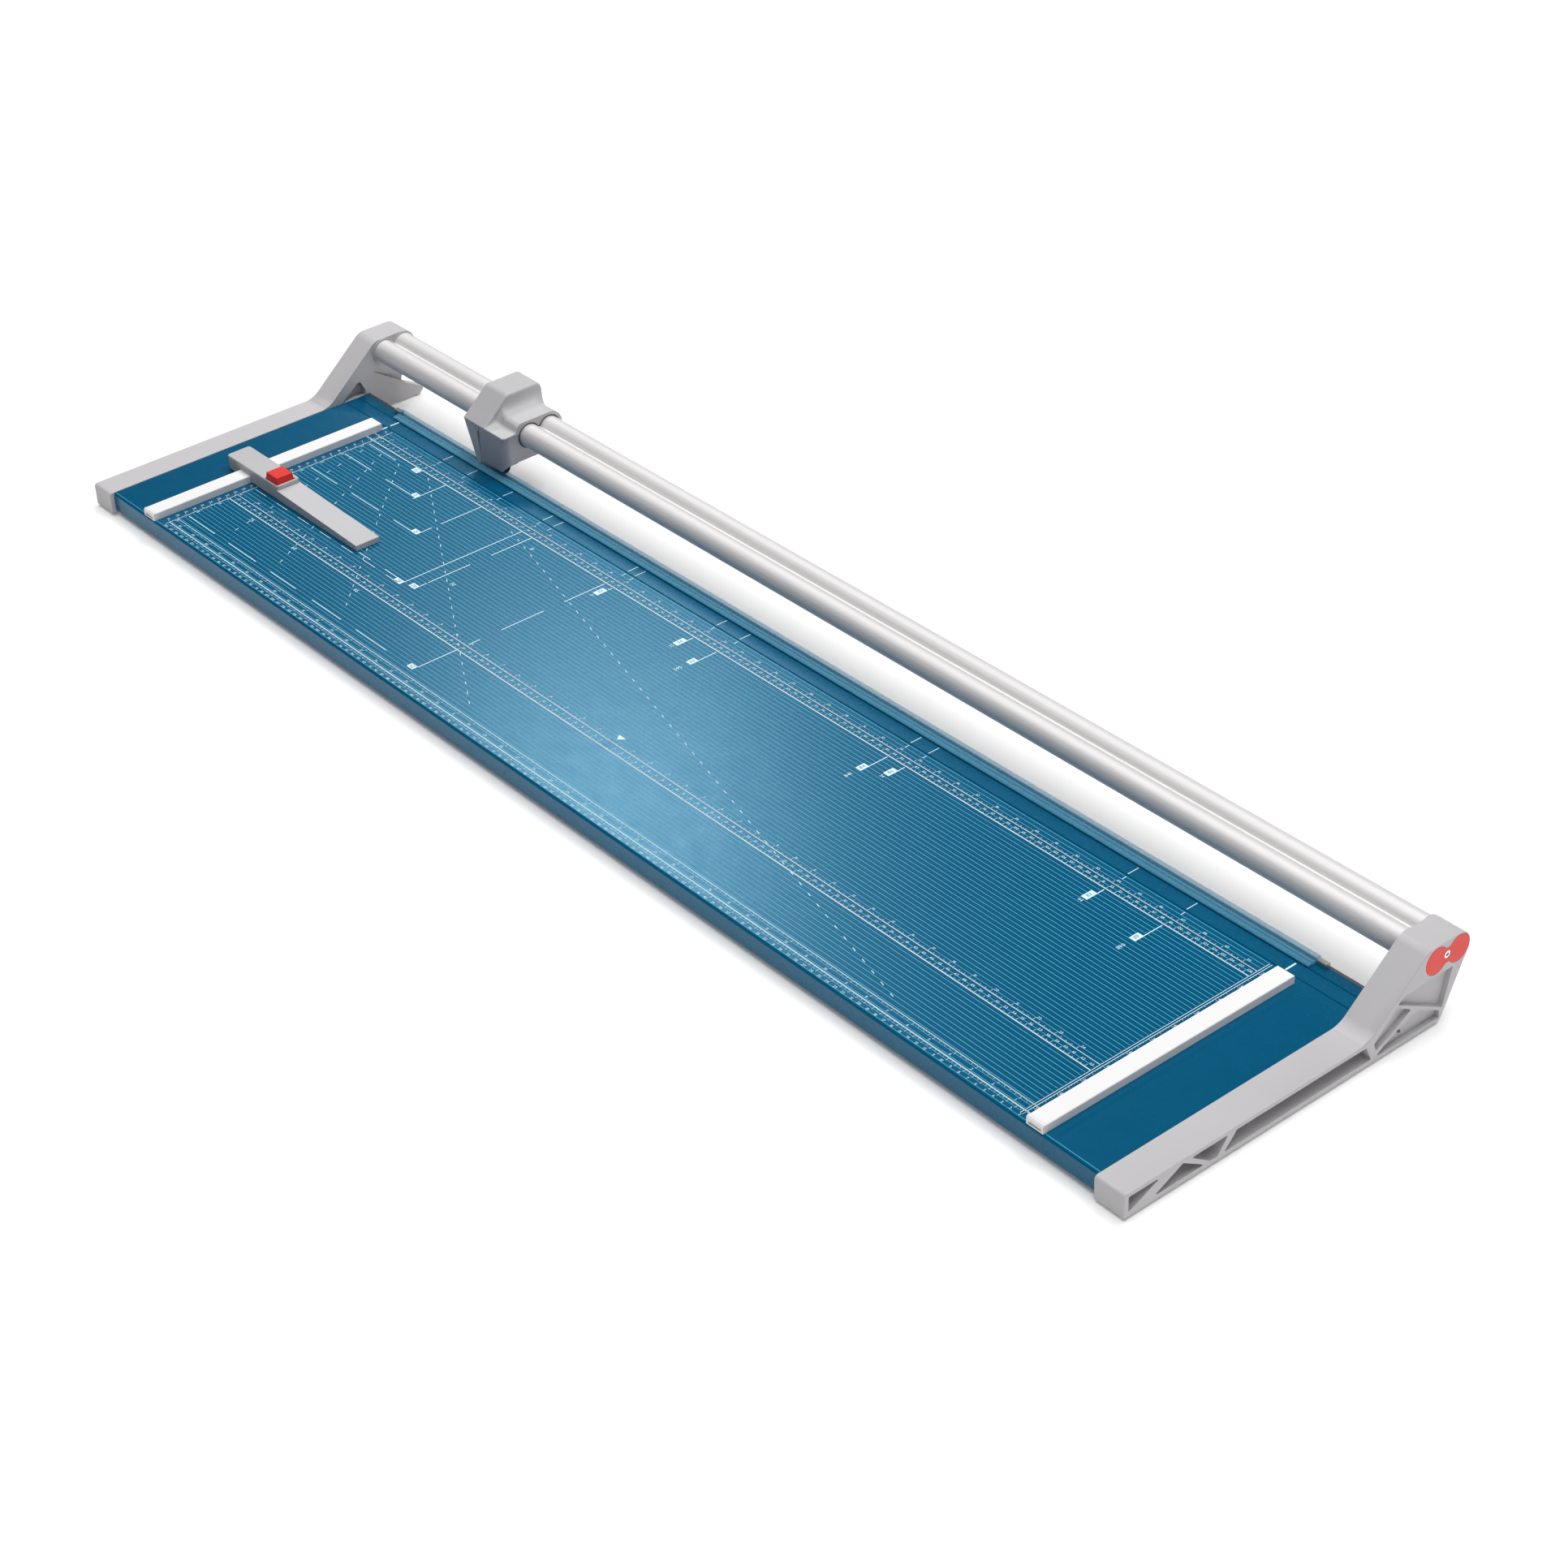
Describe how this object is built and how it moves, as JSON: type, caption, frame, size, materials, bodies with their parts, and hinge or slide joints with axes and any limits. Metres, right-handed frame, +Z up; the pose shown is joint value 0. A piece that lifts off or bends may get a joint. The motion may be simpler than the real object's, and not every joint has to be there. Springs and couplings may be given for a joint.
{
  "type": "rotary paper trimmer",
  "caption": "Wide rotary paper trimmer: printed table between two cheeks, guide rail with sliding cutting head, clear clamping strip, side stops and an adjustable back stop.",
  "frame": {"origin": "on the floor under the middle of the machine's overall width and depth", "axes": "+Z up, +X along the cut towards the right cheek as seen by the user, +Y from the user to the rail"},
  "size_m": [1.526, 0.395, 0.1025],
  "materials": {
    "table_blue": "powder coat, deep blue, fine printed scales",
    "plain_steel": "zinc plated sheet",
    "blade_steel": "ground tool steel",
    "screw_steel": "zinc plated",
    "cheek_grey": "light grey, fine grain",
    "foot_rubber": "black rubber",
    "rail_aluminium": "satin anodised",
    "signal_red": "coral red",
    "bright_screw": "bright socket screw",
    "stop_white": "off-white",
    "clip_steel": "spring steel clip",
    "spring_steel": "spring steel",
    "clear_strip": "clear plastic",
    "head_light": "light grey, fine grain",
    "head_dark": "dark grey",
    "bush_black": "black bearing plastic",
    "backstop_grey": "light grey",
    "button_red": "signal red"
  },
  "bodies": {
    "base": {"table_plate": "table_blue", "table_front_fold": "table_blue", "table_rear_fold": "table_blue", "table_end_fold_left": "table_blue", "table_end_fold_right": "table_blue", "stiffener_front": "plain_steel", "stiffener_rear": "plain_steel", "counter_blade": "blade_steel", "counter_blade_screws": "screw_steel", "cheek_left": "cheek_grey", "cheek_right": "cheek_grey", "cheek_screws": "screw_steel", "feet": "foot_rubber", "guide_rail": "rail_aluminium", "rail_cap_left": "signal_red", "rail_cap_right": "signal_red", "rail_screw_left": "bright_screw", "rail_screw_right": "bright_screw", "side_stop_left": "stop_white", "side_stop_right": "stop_white", "stop_cap_left": "stop_white", "stop_cap_right": "stop_white", "stop_screws": "screw_steel", "strip_bracket_left": "clip_steel", "strip_bracket_right": "clip_steel", "strip_spring_left": "spring_steel", "strip_spring_right": "spring_steel"},
    "strip": {"clamp_strip": "clear_strip"},
    "head": {"head_housing": "head_light", "blade_cover": "head_dark", "presser_finger": "head_light", "glide_bush_left": "bush_black", "glide_bush_right": "bush_black", "blade_carrier": "plain_steel", "head_screws": "screw_steel", "blade_axle": "screw_steel", "axle_nut": "screw_steel", "blade_spring": "spring_steel"},
    "blade": {"rotary_blade": "blade_steel", "blade_hub": "bush_black", "blade_clamp_ring": "screw_steel"},
    "backstop": {"backstop_body": "backstop_grey", "backstop_cover": "backstop_grey", "shoe_spring": "spring_steel", "button_spring": "spring_steel"},
    "brake": {"brake_slide": "bush_black"},
    "button": {"release_button": "button_red"}
  },
  "joints": [
    {"name": "head_slide", "type": "slide", "parent": "base", "child": "head", "axis": [1, 0, 0], "range_m": [-0.194, 1.193]},
    {"name": "blade_spin", "type": "hinge", "parent": "head", "child": "blade", "pos_m": [-0.4895, 0.129, 0.045], "axis": [0, 1, 0], "continuous": true},
    {"name": "strip_lift", "type": "slide", "parent": "base", "child": "strip", "axis": [0, 0, 1], "range_m": [-0.001, 0], "stiffness_N_per_m": 1500, "springref_m": 0.001, "deforming": ["strip_spring_left", "strip_spring_right"]},
    {"name": "backstop_slide", "type": "slide", "parent": "base", "child": "backstop", "axis": [0, 1, 0], "range_m": [-0.115, 0.135]},
    {"name": "button_press", "type": "slide", "parent": "backstop", "child": "button", "axis": [0, 0, 1], "range_m": [-0.0025, 0], "stiffness_N_per_m": 900, "springref_m": 0.0015, "deforming": ["button_spring"]},
    {"name": "brake_release", "type": "slide", "parent": "backstop", "child": "brake", "axis": [1, 0, 0], "range_m": [-0.0008, 0], "deforming": ["shoe_spring"]}
  ],
  "couplings": [
    {"joint": "blade_spin", "follows": "head_slide", "rad_per_m": 45.455},
    {"joint": "brake_release", "follows": "button_press", "ratio": 0.32}
  ]
}
